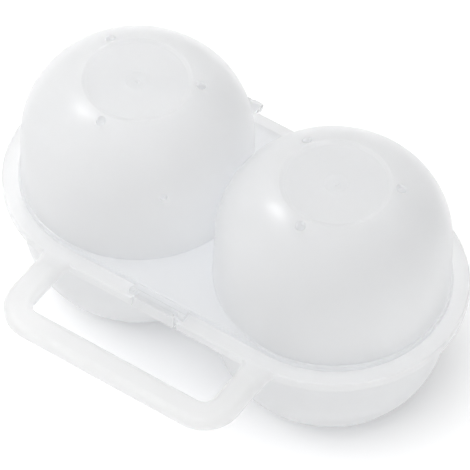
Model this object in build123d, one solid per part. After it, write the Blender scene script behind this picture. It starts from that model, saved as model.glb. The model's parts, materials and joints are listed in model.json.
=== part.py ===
from build123d import *
from math import hypot, sqrt
import os

# Two-egg keeper: a base moulding (two cups, flange, carry handle, hinge ears)
# and a lid moulding (two domes, plate, hinge knuckles, latch tongue) in clear
# polypropylene, with a latch flap that bends on the lid's tongue.
# Millimetres, +Z up. The keeper stands on its two cups. X runs from egg to
# egg, -Y towards the carry handle. While a piece is modelled, y = 0 is the
# line through both egg axes and z = 0 is the table.

# ---- the two egg pockets ---------------------------------------------------
WALL = 1.2                # moulded wall of the cups and domes
MOUTH_R = 27.2            # outside radius of a cup or dome at its mouth
MERGE = 0.2               # how far each is cut back where the two meet
WALL_TAPER = 0.2          # how much the upright wall draws in up to the shoulder
SHOULDER_R = 19.8         # radius of the round shoulder, outside
ROOT_FILLET = 0.25        # round between a pocket's wall and its plate
CUP_DEPTH = 32.5          # from the underside of the flange to the table
DOME_HEIGHT = 31.4        # from the top of the lid plate to the crown
CROWN_INSET = 14.5        # a dome's crown edge, inside the mouth's radius
CROWN_RECESS = 0.35       # depth of the sunk disc inside the crown's edge
CROWN_SLOPE = 1.1         # how far the wall of that disc leans in
CROWN_ROUND = 0.4         # round on the crown's edge
FOOT_INSET = 15.0         # a cup's foot ring, inside the mouth's radius
FOOT_RIM = 2.0            # flat width of the foot ring
FOOT_RECESS = 0.8         # depth of the sunk disc inside the foot ring
FOOT_SLOPE = 0.4          # how far the wall of that disc leans in
FOOT_BEVEL = 0.25         # on the foot ring's edges

# ---- the plates that carry them --------------------------------------------
LID_MARGIN = 0.55         # the lid plate stands this far out round the domes
LID_T = 1.5
LID_ROUND = 0.25
LEDGE = 3.85              # the base flange stands this far out round the lid plate
FLANGE_T = 1.5
FLANGE_ROUND = 0.4
LIP_DROP = 1.2            # the flange's edge turns down below its underside
LIP_WIDTH = 1.2

# ---- vents and gate marks --------------------------------------------------
VENT_D = 2.2              # three vents round each dome's crown
VENT_OFFSET = 1.8         # from the crown rim to a vent's middle
VENT_ANGLES = (30.0, 150.0, 270.0)
SIDE_VENT_D = 1.8         # one lower vent, on the left dome only
SIDE_VENT_HEIGHT = 19.4   # above the lid plate
SIDE_VENT_ANGLE = -42.0
GATE_WELL_R = 2.8         # shallow well in the sunk disc, with the gate's nub
GATE_WELL_DEPTH = 0.25
GATE_NUB_R = 0.5
GATE_NUB_HEIGHT = 0.2

# ---- carry handle ----------------------------------------------------------
HANDLE_STANDOFF = 22.2    # from the flange's edge to the handle's outer edge
HANDLE_SPAN = 55.8        # from leg to leg, on their centre lines
HANDLE_W = 6.7            # bar's width, in plan
HANDLE_T = 4.4            # bar's height
HANDLE_CORNER_R = 6.0     # corner radius on the bar's centre line
HANDLE_SECTION_R = 1.9    # round on the bar's own corners
ROOT_LENGTH = 4.6         # the legs' flare down to the flange
ROOT_FLARE_IN = 2.4       # how much a leg widens at the flange, towards the middle
ROOT_FLARE_OUT = 1.3      # and away from the middle
SEAT_INSET = 0.8          # how far a seat lies inside the flange's edge

# ---- hinge -----------------------------------------------------------------
HINGE_STANDOFF = 1.2      # pin axis behind the flange's edge
HINGE_DROP = 0.1          # pin axis below the parting face
HINGE_X = 19.75           # middle of each hinge, left and right
PIN_R = 0.75
PIN_CLEARANCE = 0.05      # radial, pin in its bore
PIN_INSET = 0.65          # a pin ends this far inside its ear's far face
KNUCKLE_WALL = 0.5        # knuckle's radius beyond the pin's
KNUCKLE_LENGTH = 4.6
EAR_WALL = 0.6            # ear's wall round its bore
EAR_THICKNESS = 2.6
HINGE_GAP = 0.25          # knuckle to ear, and knuckle or arm to flange

# ---- latch -----------------------------------------------------------------
LATCH_X = -0.8            # middle of the latch, a little left of the keeper's
BEND_INSET = 0.85         # the bend lies this far inside the flange's edge
BEND_GAP = 0.15           # half the gap that the bend's thin web bridges
WEB_T = 0.35
RELIEF_R = 0.65           # round relief at each end of the bend
TONGUE_MARGIN = 2.0       # tongue wider than the flap, on each side
TONGUE_ROUND = 0.7        # round of the tongue's outer corners, in plan
TONGUE_DIP = 0.35         # the tongue is thinner behind its end bar
TONGUE_BAR = 1.2          # width of the full-height bar at the bend
FLAP_W = 11.0
FLAP_T = 0.9
FLAP_ROUND = 0.35
HOOK_REACH = 0.85         # how far the flap's hook stands in from the flap
HOOK_HEIGHT = 0.75
LATCH_GAP = 0.25          # hook and flap to flange, in height and depth
NOTCH_GAP = 0.7           # flap to the sides of the flange's notch

# ---- sizes and places worked out from these --------------------------------
MOUTH_INNER_R = MOUTH_R - WALL
CROWN_R = MOUTH_R - CROWN_INSET
FOOT_R = MOUTH_R - FOOT_INSET
LID_R = MOUTH_R + LID_MARGIN                     # end radius and half width
FLANGE_R = LID_R + LEDGE
LIP_INNER_R = FLANGE_R - LIP_WIDTH
SEAT = FLANGE_R - SEAT_INSET                     # faces that handle and ears grow from
LID_SEAT = LID_R - LID_ROUND
PITCH = 2 * (MOUTH_R - MERGE)                    # from egg axis to egg axis
FLANGE_BOTTOM = CUP_DEPTH
LIP_BOTTOM = FLANGE_BOTTOM - LIP_DROP
PARTING_Z = FLANGE_BOTTOM + FLANGE_T
LID_TOP = PARTING_Z + LID_T
HANDLE_REACH = FLANGE_R + HANDLE_STANDOFF
HANDLE_Z = FLANGE_BOTTOM + FLANGE_T / 2
HINGE_Y = FLANGE_R + HINGE_STANDOFF
HINGE_Z = PARTING_Z - HINGE_DROP
KNUCKLE_R = PIN_R + KNUCKLE_WALL
EAR_R = PIN_R + PIN_CLEARANCE + EAR_WALL
TONGUE_REACH = FLANGE_R - BEND_INSET
EGG_LINE_Y = (HANDLE_REACH - HINGE_Y - EAR_R) / 2    # puts the origin under the middle
EGG_AXES = (-PITCH / 2, PITCH / 2)
SIDES = {"left": -1, "right": 1}
EARS = {"inner": -1, "outer": 1}
FAR = 300.0                                      # size of a cutting block


# ---- helpers ---------------------------------------------------------------
def block(x0, x1, y0, y1, z0, z1):
    """Box between two corners."""
    size = (x1 - x0, y1 - y0, z1 - z0)
    return Pos((x0 + x1) / 2, (y0 + y1) / 2, (z0 + z1) / 2) * Box(*size)


def half_space(side):
    """Block that holds everything on one side of the plane between the eggs."""
    x0, x1 = sorted((0.0, side * FAR))
    return block(x0, x1, -FAR, FAR, -FAR, FAR)


def stadium(radius, z0, z1):
    """Plate with round ends about the two egg axes."""
    outline = SlotCenterToCenter(PITCH, 2 * radius)
    return Pos(0, 0, z0) * extrude(outline, z1 - z0)


def side_plane(x):
    """Plane square to X, drawn on as Y and Z and extruded towards +X."""
    return Plane(origin=(x, 0, 0), x_dir=(0, 1, 0), z_dir=(1, 0, 0))


def bore_x(radius, x0, x1, y, z):
    """Cylinder along X."""
    return Pos((x0 + x1) / 2, y, z) * Rot(0, 90, 0) * Cylinder(radius, x1 - x0)


# ---- egg pocket: one section for cups and domes ------------------------------
def shoulder(height, crown_r):
    """Centre of the shoulder's arc, as radius and height above the mouth."""
    centre_r = MOUTH_R - WALL_TAPER - SHOULDER_R
    rise = sqrt(SHOULDER_R**2 - (crown_r - centre_r) ** 2)
    return centre_r, height - rise


def arc_between(centre, radius, start, end):
    """Arc about a centre, through the point that halves its angle."""
    mid_r, mid_h = (start[0] + end[0]) / 2 - centre[0], (start[1] + end[1]) / 2 - centre[1]
    scale = radius / hypot(mid_r, mid_h)
    middle = (centre[0] + mid_r * scale, centre[1] + mid_h * scale)
    return ThreePointArc(start, middle, end)


def pocket(height, crown_r, rim, recess, slope):
    """Thin round shell with its mouth at z = 0 and its crown at z = height."""
    centre = shoulder(height, crown_r)
    wall_r = MOUTH_R - WALL_TAPER
    ceiling = height - recess - WALL
    inner_arc_r = SHOULDER_R - WALL
    ceiling_r = centre[0] + sqrt(inner_arc_r**2 - (ceiling - centre[1]) ** 2)
    recess_r = crown_r - rim
    floor_r = recess_r - slope

    foot_centre = (MOUTH_R + ROOT_FILLET, ROOT_FILLET)
    foot = (MOUTH_R + ROOT_FILLET, 0)
    wall_start = (MOUTH_R, ROOT_FILLET)
    wall_end = (wall_r, centre[1])
    crown_edge = (crown_r, height)
    inner_end = (wall_r - WALL, centre[1])
    outline = [
        arc_between(foot_centre, ROOT_FILLET, foot, wall_start),
        Line(wall_start, wall_end),
        arc_between(centre, SHOULDER_R, wall_end, crown_edge),
        Line((recess_r, height), (floor_r, height - recess)),
        Line((floor_r, height - recess), (0, height - recess)),
        Line((0, height - recess), (0, ceiling)),
        Line((0, ceiling), (ceiling_r, ceiling)),
        arc_between(centre, inner_arc_r, (ceiling_r, ceiling), inner_end),
        Line(inner_end, (MOUTH_INNER_R, 0)),
        Line((MOUTH_INNER_R, 0), foot),
    ]
    if rim > 0:
        outline.append(Line(crown_edge, (recess_r, height)))
    section = make_face([Plane.XZ * edge for edge in outline])
    return revolve(section, Axis.Z)


def crown_edges(shell):
    """Edges that bound a pocket's highest ring, or its highest edge alone."""
    return shell.edges().filter_by(GeomType.CIRCLE).group_by(Axis.Z)[-1]


def gate_mark(z):
    """Shallow well with the gate's nub, as a cutter and a piece to add."""
    well = Pos(0, 0, z - GATE_WELL_DEPTH) * Cylinder(
        GATE_WELL_R, 1.0, align=(Align.CENTER, Align.CENTER, Align.MIN))
    nub = Pos(0, 0, z - GATE_WELL_DEPTH) * Cylinder(
        GATE_NUB_R, GATE_NUB_HEIGHT, align=(Align.CENTER, Align.CENTER, Align.MIN))
    return well, nub


def vents():
    """Cutters of the three vents round a crown, drawn out along Z."""
    drill = Cylinder(VENT_D / 2, DOME_HEIGHT, align=(Align.CENTER, Align.CENTER, Align.MIN))
    place = Pos(CROWN_R + VENT_OFFSET, 0, DOME_HEIGHT / 2)
    return [Rot(0, 0, angle) * place * drill for angle in VENT_ANGLES]


def side_vent():
    """Cutter of the lower vent, square to the shoulder where it comes out."""
    centre_r, centre_h = shoulder(DOME_HEIGHT, CROWN_R)
    rise = SIDE_VENT_HEIGHT - centre_h
    tilt = Vector(sqrt(SHOULDER_R**2 - rise**2), 0, rise)
    start = Vector(centre_r, 0, centre_h) + tilt * 0.7
    drill = extrude(Plane(origin=start, z_dir=tilt) * Circle(SIDE_VENT_D / 2), SHOULDER_R)
    return Rot(0, 0, SIDE_VENT_ANGLE) * drill


def make_cup(side):
    """Cup that hangs under the flange, with its foot ring on the table."""
    shell = pocket(CUP_DEPTH, FOOT_R, FOOT_RIM, FOOT_RECESS, FOOT_SLOPE)
    shell = chamfer(crown_edges(shell), min(FOOT_BEVEL, FOOT_RIM * 0.45))
    shell = Pos(0, 0, FLANGE_BOTTOM) * Rot(180, 0, 0) * shell
    return Pos(side * PITCH / 2, 0, 0) * shell & half_space(side)


def make_dome(side):
    """Dome that stands on the lid plate, with its vents."""
    well, nub = gate_mark(DOME_HEIGHT - CROWN_RECESS)
    shell = pocket(DOME_HEIGHT, CROWN_R, 0, CROWN_RECESS, CROWN_SLOPE)
    shell = fillet(crown_edges(shell), CROWN_ROUND) - well + nub
    shell -= vents()
    if side < 0:
        shell -= side_vent()
    return Pos(side * PITCH / 2, 0, LID_TOP) * shell & half_space(side)


# ---- carry handle ------------------------------------------------------------
def bar_section(width, height, radius):
    return RectangleRounded(width, height, min(radius, width / 2 - 0.05, height / 2 - 0.05))


def root_span(side, blend=1.0):
    """A leg's extent along X, part of the way (blend) to its full width."""
    middle = side * HANDLE_SPAN / 2
    inner = middle - side * (HANDLE_W / 2 + ROOT_FLARE_IN * blend)
    outer = middle + side * (HANDLE_W / 2 + ROOT_FLARE_OUT * blend)
    return min(inner, outer), max(inner, outer)


def handle_root(side):
    """Leg's end, which widens and thins until it is part of the flange."""
    steps = ((0.0, 0.0), (0.4, 0.10), (0.75, 0.42), (1.0, 1.0))
    edge_height = PARTING_Z - LIP_BOTTOM
    edge_z = (PARTING_Z + LIP_BOTTOM) / 2
    sections = []
    for along, blend in steps:
        x0, x1 = root_span(side, blend)
        y = -SEAT - ROOT_LENGTH * (1 - along)
        z = HANDLE_Z + (edge_z - HANDLE_Z) * blend
        height = HANDLE_T + (edge_height - HANDLE_T) * blend
        plane = Plane(origin=((x0 + x1) / 2, y, z), x_dir=(1, 0, 0), z_dir=(0, 1, 0))
        sections.append(plane * bar_section(x1 - x0, height, HANDLE_SECTION_R))
    return loft(sections)


def make_handle():
    """Round-cornered U in the plane of the flange."""
    leg_x = HANDLE_SPAN / 2
    leg_y = -SEAT - ROOT_LENGTH
    bar_y = -(HANDLE_REACH - HANDLE_W / 2)
    corners = [(-leg_x, leg_y, HANDLE_Z), (-leg_x, bar_y, HANDLE_Z),
               (leg_x, bar_y, HANDLE_Z), (leg_x, leg_y, HANDLE_Z)]
    path = FilletPolyline(*corners, radius=HANDLE_CORNER_R)
    start = Plane(origin=corners[0], x_dir=(1, 0, 0), z_dir=(0, -1, 0))
    bar = sweep(start * bar_section(HANDLE_W, HANDLE_T, HANDLE_SECTION_R), path)
    return bar + handle_root(-1) + handle_root(1)


# ---- base plate --------------------------------------------------------------
def ear_profile():
    """Ear in side view: a round eye on a web that grows out of the flange."""
    eye = Pos(HINGE_Y, HINGE_Z) * Circle(EAR_R)
    web = make_face(Polyline((SEAT, LIP_BOTTOM), (HINGE_Y, HINGE_Z - EAR_R),
                             (HINGE_Y, HINGE_Z + EAR_R), (SEAT, PARTING_Z), close=True))
    return eye + web


def ear_span(side, outward):
    """An ear's extent along X: outward is 1 for the outer ear, -1 for the inner."""
    near = KNUCKLE_LENGTH / 2 + HINGE_GAP
    far = near + EAR_THICKNESS
    ends = (side * (HINGE_X + outward * near), side * (HINGE_X + outward * far))
    return min(ends), max(ends)


def make_ear(side, outward):
    """Hinge ear, with the bore that a stub pin of the lid turns in."""
    x0, x1 = ear_span(side, outward)
    ear = extrude(side_plane(x0) * ear_profile(), x1 - x0)
    return ear - bore_x(PIN_R + PIN_CLEARANCE, x0 - 1, x1 + 1, HINGE_Y, HINGE_Z)


def make_flange():
    """Flange with its down-turned lip, the cups' mouths, seats and notches."""
    plate = stadium(FLANGE_R, LIP_BOTTOM, PARTING_Z)
    rims = plate.edges().filter_by(Axis.Z, reverse=True)
    plate = fillet(rims, min(FLANGE_ROUND, FLANGE_T * 0.45))
    plate -= stadium(LIP_INNER_R, 0, FLANGE_BOTTOM)
    for x in EGG_AXES:
        plate -= Pos(x, 0, 0) * Cylinder(MOUTH_INNER_R, FAR)
    for side in SIDES.values():
        plate -= block(*root_span(side), -FAR, -SEAT, 0, FAR)
        half = KNUCKLE_LENGTH / 2 + HINGE_GAP
        knuckle_clear = HINGE_Y - KNUCKLE_R - HINGE_GAP
        plate -= block(side * HINGE_X - half, side * HINGE_X + half, knuckle_clear, FAR, 0, FAR)
        for outward in EARS.values():
            x0, x1 = ear_span(side, outward)
            plate -= block(x0, x1, SEAT, FAR, 0, FAR)
    notch = (LATCH_X - FLAP_W / 2 - NOTCH_GAP, LATCH_X + FLAP_W / 2 + NOTCH_GAP)
    flap_inside = TONGUE_REACH + BEND_GAP - LATCH_GAP
    plate -= block(*notch, -FAR, -flap_inside, 0, FAR)
    return plate - block(*notch, -FAR, -LIP_INNER_R, 0, FLANGE_BOTTOM)


# ---- lid plate ---------------------------------------------------------------
def make_knuckle(side):
    """Knuckle on its arm, with a stub pin at each end."""
    middle = side * HINGE_X
    x0, x1 = middle - KNUCKLE_LENGTH / 2, middle + KNUCKLE_LENGTH / 2
    arm_bottom = PARTING_Z + HINGE_GAP
    pin = HINGE_GAP + EAR_THICKNESS - PIN_INSET
    eye = Pos(HINGE_Y, HINGE_Z) * Circle(KNUCKLE_R)
    arm = make_face(Polyline((LID_SEAT, PARTING_Z), (HINGE_Y, arm_bottom),
                             (HINGE_Y, HINGE_Z + KNUCKLE_R), (LID_SEAT, LID_TOP), close=True))
    knuckle = extrude(side_plane(x0) * (eye + arm), x1 - x0)
    return knuckle + bore_x(PIN_R, x0 - pin, x1 + pin, HINGE_Y, HINGE_Z)


def tongue():
    """Tongue over the flange, with its end bar and half of the bend's thin web."""
    end = TONGUE_REACH - BEND_GAP
    half = FLAP_W / 2 + TONGUE_MARGIN
    plan = block(LATCH_X - half, LATCH_X + half, -end, -LID_SEAT, PARTING_Z, LID_TOP)
    plan = fillet(plan.edges().filter_by(Axis.Z).group_by(Axis.Y)[0], TONGUE_ROUND)
    plan -= block(-FAR, FAR, TONGUE_BAR - end, -LID_SEAT, LID_TOP - TONGUE_DIP, FAR)
    for side in SIDES.values():
        plan -= Pos(LATCH_X + side * FLAP_W / 2, -end, 0) * Cylinder(RELIEF_R, FAR)
    return plan + bend_web(end, TONGUE_REACH)


def bend_web(near, far):
    """Thin web between two distances from the egg line; the latch bends at its top."""
    half = FLAP_W / 2 - RELIEF_R
    return block(LATCH_X - half, LATCH_X + half, -far, -near, LID_TOP - WEB_T, LID_TOP)


def make_lid_plate():
    """Plate that joins the domes and closes on the flange."""
    plate = stadium(LID_R, PARTING_Z, LID_TOP)
    rim = plate.edges().filter_by(Axis.Z, reverse=True).group_by(Axis.Z)[-1]
    plate = fillet(rim, min(LID_ROUND, LID_T * 0.9))
    for side in SIDES.values():
        middle = side * HINGE_X
        half = KNUCKLE_LENGTH / 2
        plate -= block(middle - half, middle + half, LID_SEAT, FAR, 0, FAR)
    plate += tongue()
    for x in EGG_AXES:
        plate -= Pos(x, 0, 0) * Cylinder(MOUTH_INNER_R, FAR)
    return plate


def make_flap():
    """Latch flap: a plate with a hook that snaps under the flange."""
    inside = TONGUE_REACH + BEND_GAP
    outside = inside + FLAP_T
    hook_top = FLANGE_BOTTOM - LATCH_GAP
    bottom = hook_top - HOOK_HEIGHT
    profile = make_face(Polyline(
        (-inside, LID_TOP), (-outside, LID_TOP), (-outside, bottom), (-inside, bottom),
        (-inside + HOOK_REACH, (hook_top + bottom) / 2), (-inside + HOOK_REACH, hook_top),
        (-inside, hook_top), close=True))
    flap = extrude(side_plane(LATCH_X - FLAP_W / 2) * profile, FLAP_W)
    face = flap.faces().sort_by(Axis.Y)[0]
    flap = fillet(face.edges(), min(FLAP_ROUND, FLAP_T * 0.45))
    return flap + bend_web(TONGUE_REACH, inside)


# ---- nodes -------------------------------------------------------------------
def build_nodes():
    """Every named piece, where it lies when the keeper is shut."""
    nodes = {
        "base_flange": make_flange(),
        "carry_handle": make_handle(),
        "lid_plate": make_lid_plate(),
        "latch_flap": make_flap(),
    }
    for name, side in SIDES.items():
        nodes[f"{name}_cup"] = make_cup(side)
        nodes[f"{name}_dome"] = make_dome(side)
        nodes[f"{name}_hinge_knuckle"] = make_knuckle(side)
        for place, outward in EARS.items():
            nodes[f"{name}_{place}_hinge_ear"] = make_ear(side, outward)
    return nodes


def main():
    os.makedirs("parts", exist_ok=True)
    for name, shape in build_nodes().items():
        export_step(Pos(0, EGG_LINE_Y, 0) * shape, f"parts/{name}.step")


main()
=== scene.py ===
"""Egg keeper in frosted polypropylene: a base with two cups, a flip lid with two domes and a snap latch.

Meshes are drawn in millimetres in the frame's own axes and brought to metres when they are finished.
+X runs from the left egg to the right egg, -Y towards the carry handle, +Z up.
"""

from __future__ import annotations

import json
import logging
import math
from dataclasses import dataclass
from enum import Enum
from typing import Iterable, Sequence

import bmesh
import bpy
from bpy.types import Material, Node, NodeSocket, NodeTree, Object
from mathutils import Matrix, Vector

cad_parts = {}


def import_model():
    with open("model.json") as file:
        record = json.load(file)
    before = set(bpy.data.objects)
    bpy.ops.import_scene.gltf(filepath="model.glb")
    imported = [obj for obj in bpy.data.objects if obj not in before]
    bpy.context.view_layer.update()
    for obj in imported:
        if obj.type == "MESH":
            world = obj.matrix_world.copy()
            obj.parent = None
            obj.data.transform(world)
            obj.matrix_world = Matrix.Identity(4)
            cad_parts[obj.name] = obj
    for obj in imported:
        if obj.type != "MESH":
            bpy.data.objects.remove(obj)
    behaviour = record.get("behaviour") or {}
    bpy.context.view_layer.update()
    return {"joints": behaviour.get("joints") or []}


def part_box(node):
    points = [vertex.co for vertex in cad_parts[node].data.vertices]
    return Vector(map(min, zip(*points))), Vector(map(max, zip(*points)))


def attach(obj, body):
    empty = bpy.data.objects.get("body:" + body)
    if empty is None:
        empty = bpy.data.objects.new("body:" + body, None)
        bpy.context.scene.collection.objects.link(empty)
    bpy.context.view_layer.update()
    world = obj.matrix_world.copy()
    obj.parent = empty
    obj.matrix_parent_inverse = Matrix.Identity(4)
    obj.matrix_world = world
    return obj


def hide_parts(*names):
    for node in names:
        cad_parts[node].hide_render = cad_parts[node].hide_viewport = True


LOG = logging.getLogger("egg_keeper")
MM = 0.001

# Straight runs in a rounded corner and in a round end of the flange or plate.
ROUND_STEPS = 4
END_STEPS = 80
# Points nearer than this, in millimetres, are merged when a mesh is drawn and when it is finished.
DRAWN_WELD = 1e-5
FINISHED_WELD = 2e-4
# Edges over this angle, in degrees, stay crisp; the weight says how far large faces lead the shading.
SHARP_ANGLE = 32.0
NORMAL_WEIGHT = 90

Point2 = tuple[float, float]
Point3 = tuple[float, float, float]
Inputs = dict[int | str, object]


class Side(Enum):
    """Which egg's half of the keeper a piece belongs to."""

    LEFT = -1
    RIGHT = 1


class Operation(Enum):
    """How a tool changes the body that it is applied to."""

    JOIN = "UNION"
    CUT = "DIFFERENCE"


# ---- mesh helpers ----
def arc(centre: Point2, radius: float, start: float, end: float, steps: int) -> list[Point2]:
    """Draws an arc in a plane.

    Args:
        centre: Middle of the arc.
        radius: Radius of the arc.
        start: First angle, in degrees.
        end: Last angle, in degrees.
        steps: Number of straight runs.

    Returns:
        The steps + 1 points, both ends included.
    """
    angles = [math.radians(start + (end - start) * i / steps) for i in range(steps + 1)]
    return [(centre[0] + radius * math.cos(a), centre[1] + radius * math.sin(a)) for a in angles]


def rounded(corner: Point2, before: Point2, after: Point2, radius: float) -> list[Point2]:
    """Rounds the corner between two straight runs.

    Args:
        corner: Where the runs meet.
        before: A point on the run that comes in.
        after: A point on the run that goes out.
        radius: Radius of the round.

    Returns:
        Points from one tangent point to the other.
    """
    tip = Vector(corner)
    first = (Vector(before) - tip).normalized()
    second = (Vector(after) - tip).normalized()
    half = first.angle(second) / 2
    reach = radius / math.tan(half)
    middle = tip + (first + second).normalized() * (radius / math.sin(half))
    start = tip + first * reach - middle
    end = tip + second * reach - middle
    points = []
    for i in range(ROUND_STEPS + 1):
        direction = start.lerp(end, i / ROUND_STEPS).normalized() * radius
        points.append(tuple(middle + direction))
    return points


def new_object(name: str, bm: bmesh.types.BMesh) -> Object:
    """Turns a bmesh into an object of the scene, with its faces pointing outwards.

    Args:
        name: Name of the object.
        bm: Its faces; the bmesh is freed.

    Returns:
        The new object.
    """
    bmesh.ops.remove_doubles(bm, verts=bm.verts, dist=DRAWN_WELD)
    bmesh.ops.recalc_face_normals(bm, faces=bm.faces)
    mesh = bpy.data.meshes.new(name)
    bm.to_mesh(mesh)
    bm.free()
    obj = bpy.data.objects.new(name, mesh)
    bpy.context.scene.collection.objects.link(obj)
    return obj


def skin(name: str, loops: Sequence[Sequence[Point3]]) -> Object:
    """Closed solid through a row of loops with as many points each, its ends capped.

    Args:
        name: Name of the object.
        loops: Closed loops, from one end to the other.

    Returns:
        The new object.
    """
    bm = bmesh.new()
    rings = [[bm.verts.new(p) for p in loop] for loop in loops]
    count = len(rings[0])
    for lower, upper in zip(rings, rings[1:]):
        for i in range(count):
            j = (i + 1) % count
            bm.faces.new((lower[i], lower[j], upper[j], upper[i]))
    bm.faces.new(rings[0])
    bm.faces.new(rings[-1])
    return new_object(name, bm)


def revolve(name: str, profile: Sequence[Point2], centre: Point2, segments: int) -> Object:
    """Solid of revolution about an upright axis.

    Args:
        name: Name of the object.
        profile: (radius, z) points; the first and the last lie on the axis.
        centre: Place of the axis in plan.
        segments: Number of segments round the axis.

    Returns:
        The new object.
    """
    bm = bmesh.new()
    turns = [2 * math.pi * i / segments for i in range(segments)]
    top = bm.verts.new((centre[0], centre[1], profile[0][1]))
    bottom = bm.verts.new((centre[0], centre[1], profile[-1][1]))
    rings = []
    for radius, z in profile[1:-1]:
        plan = ((centre[0] + radius * math.cos(t), centre[1] + radius * math.sin(t)) for t in turns)
        rings.append([bm.verts.new((x, y, z)) for x, y in plan])
    for i in range(segments):
        j = (i + 1) % segments
        bm.faces.new((top, rings[0][i], rings[0][j]))
        bm.faces.new((bottom, rings[-1][j], rings[-1][i]))
        for upper, lower in zip(rings, rings[1:]):
            bm.faces.new((upper[i], lower[i], lower[j], upper[j]))
    return new_object(name, bm)


def extrude_x(name: str, outline: Sequence[Point2], x0: float, x1: float) -> Object:
    """Solid with a (y, z) outline, drawn out along X."""
    return skin(name, [[(x, y, z) for y, z in outline] for x in (x0, x1)])


def cylinder_x(name: str, radius: float, span: Point2, centre: Point2 = (0.0, 0.0),
               segments: int = 48) -> Object:
    """Round bar along X about a (y, z) centre."""
    return extrude_x(name, arc(centre, radius, 0, 360 - 360 / segments, segments - 1), *span)


def box(name: str, low: Point3, high: Point3) -> Object:
    """Box between two corners."""
    outline = [(low[1], low[2]), (high[1], low[2]), (high[1], high[2]), (low[1], high[2])]
    return extrude_x(name, outline, low[0], high[0])


def bake_modifiers(obj: Object) -> None:
    """Replaces an object's mesh by what its modifiers make of it, and removes them.

    Args:
        obj: The object.
    """
    graph = bpy.context.evaluated_depsgraph_get()
    mesh = bpy.data.meshes.new_from_object(obj.evaluated_get(graph), depsgraph=graph)
    obj.modifiers.clear()
    old = obj.data
    obj.data = mesh
    bpy.data.meshes.remove(old)


def combine(body: Object, tools: Iterable[Object], operation: Operation) -> None:
    """Joins tools to a body, or cuts them out of it, and removes the tools.

    Args:
        body: The body.
        tools: Closed solids.
        operation: What they do to the body.
    """
    for tool in tools:
        step = body.modifiers.new("combine", "BOOLEAN")
        step.operation = operation.value
        step.solver = "EXACT"
        step.object = tool
        bake_modifiers(body)
        mesh = tool.data
        bpy.data.objects.remove(tool)
        bpy.data.meshes.remove(mesh)


def soften(obj: Object, width: float, segments: int, angle: float) -> None:
    """Rounds an object's sharp edges.

    Args:
        obj: The object.
        width: Width of the round.
        segments: Number of faces across it.
        angle: Edges over this angle, in degrees, are rounded.
    """
    step = obj.modifiers.new("soften", "BEVEL")
    step.width = width
    step.segments = segments
    step.limit_method = "ANGLE"
    step.angle_limit = math.radians(angle)
    bake_modifiers(obj)


def dress(obj: Object, material: Material) -> None:
    """Brings a finished mesh from millimetres to metres, shades it and gives it its material.

    Args:
        obj: The object, still in millimetres.
        material: Its finish.
    """
    mesh = obj.data
    bm = bmesh.new()
    bm.from_mesh(mesh)
    bmesh.ops.remove_doubles(bm, verts=bm.verts, dist=FINISHED_WELD)
    bmesh.ops.dissolve_degenerate(bm, edges=bm.edges, dist=FINISHED_WELD)
    bm.to_mesh(mesh)
    bm.free()
    mesh.transform(Matrix.Scale(MM, 4))
    mesh.polygons.foreach_set("use_smooth", [True] * len(mesh.polygons))
    mesh.set_sharp_from_angle(angle=math.radians(SHARP_ANGLE))
    step = obj.modifiers.new("weighted", "WEIGHTED_NORMAL")
    step.keep_sharp = True
    step.weight = NORMAL_WEIGHT
    bake_modifiers(obj)
    obj.data.materials.clear()
    obj.data.materials.append(material)


# ---- sizes that come from the frame ----
@dataclass(frozen=True)
class KeeperFrame:
    """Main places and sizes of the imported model, and those that two pieces share, in millimetres."""

    egg_line: float
    pitch: float
    flange_r: float
    flange_z: Point2
    lip_z: float
    lid_r: float
    lid_z: Point2
    crown_z: float
    foot_z: float
    root_r: float
    handle_low: Point3
    handle_high: Point3
    hinge: Point3
    bend: Point3
    flap_low: Point3
    flap_high: Point3
    knuckle_x: Point2
    ear_x: Point2
    ear_r: float
    knuckle_r: float
    root_fillet: float = 0.25
    knuckle_half: float = 2.3
    hinge_gap: float = 0.25
    latch_gap: float = 0.25
    bend_gap: float = 0.15
    web_t: float = 0.35
    relief_r: float = 0.65

    @property
    def hinge_x(self) -> float:
        """Distance of each hinge's middle from the keeper's."""
        return (self.ear_x[0] + self.ear_x[1]) / 2

    @property
    def mouth_r(self) -> float:
        """Outer radius of a pocket's wall where its root fillet begins."""
        return self.root_r - self.root_fillet

    def egg_axis(self, side: Side) -> Point2:
        """Egg axis of one side, in plan."""
        return side.value * self.pitch / 2, self.egg_line

    @classmethod
    def read(cls, joints: Sequence[dict]) -> KeeperFrame:
        """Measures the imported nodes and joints.

        Args:
            joints: The frame's joints.

        Returns:
            The sizes that the mouldings are built to.
        """
        flange, plate, dome, cup, handle, flap, inner_ear, outer_ear, knuckle = map(corners, (
            "base_flange", "lid_plate", "right_dome", "right_cup", "carry_handle", "latch_flap",
            "right_inner_hinge_ear", "right_outer_hinge_ear", "right_hinge_knuckle"))
        place = {joint["name"]: tuple(c / MM for c in joint["pos_m"]) for joint in joints}
        hinge = place["lid_hinge"]
        egg_line = (flange[0][1] + flange[1][1]) / 2
        flange_r = (flange[1][1] - flange[0][1]) / 2
        return cls(
            egg_line=egg_line,
            pitch=2 * (flange[1][0] - flange_r),
            flange_r=flange_r,
            flange_z=(cup[1][2], flange[1][2]),
            lip_z=flange[0][2],
            lid_r=plate[1][1] - egg_line,
            lid_z=(plate[0][2], plate[1][2]),
            crown_z=dome[1][2],
            foot_z=cup[0][2],
            root_r=(dome[1][1] - dome[0][1]) / 2,
            handle_low=handle[0],
            handle_high=handle[1],
            hinge=hinge,
            bend=place["latch_bend"],
            flap_low=flap[0],
            flap_high=flap[1],
            knuckle_x=(knuckle[0][0], knuckle[1][0]),
            ear_x=(inner_ear[0][0], outer_ear[1][0]),
            ear_r=inner_ear[1][1] - hinge[1],
            knuckle_r=knuckle[1][1] - hinge[1],
        )


def corners(node: str) -> tuple[Point3, Point3]:
    """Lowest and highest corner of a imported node, in millimetres."""
    low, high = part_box(node)
    return tuple(c / MM for c in low), tuple(c / MM for c in high)


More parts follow.
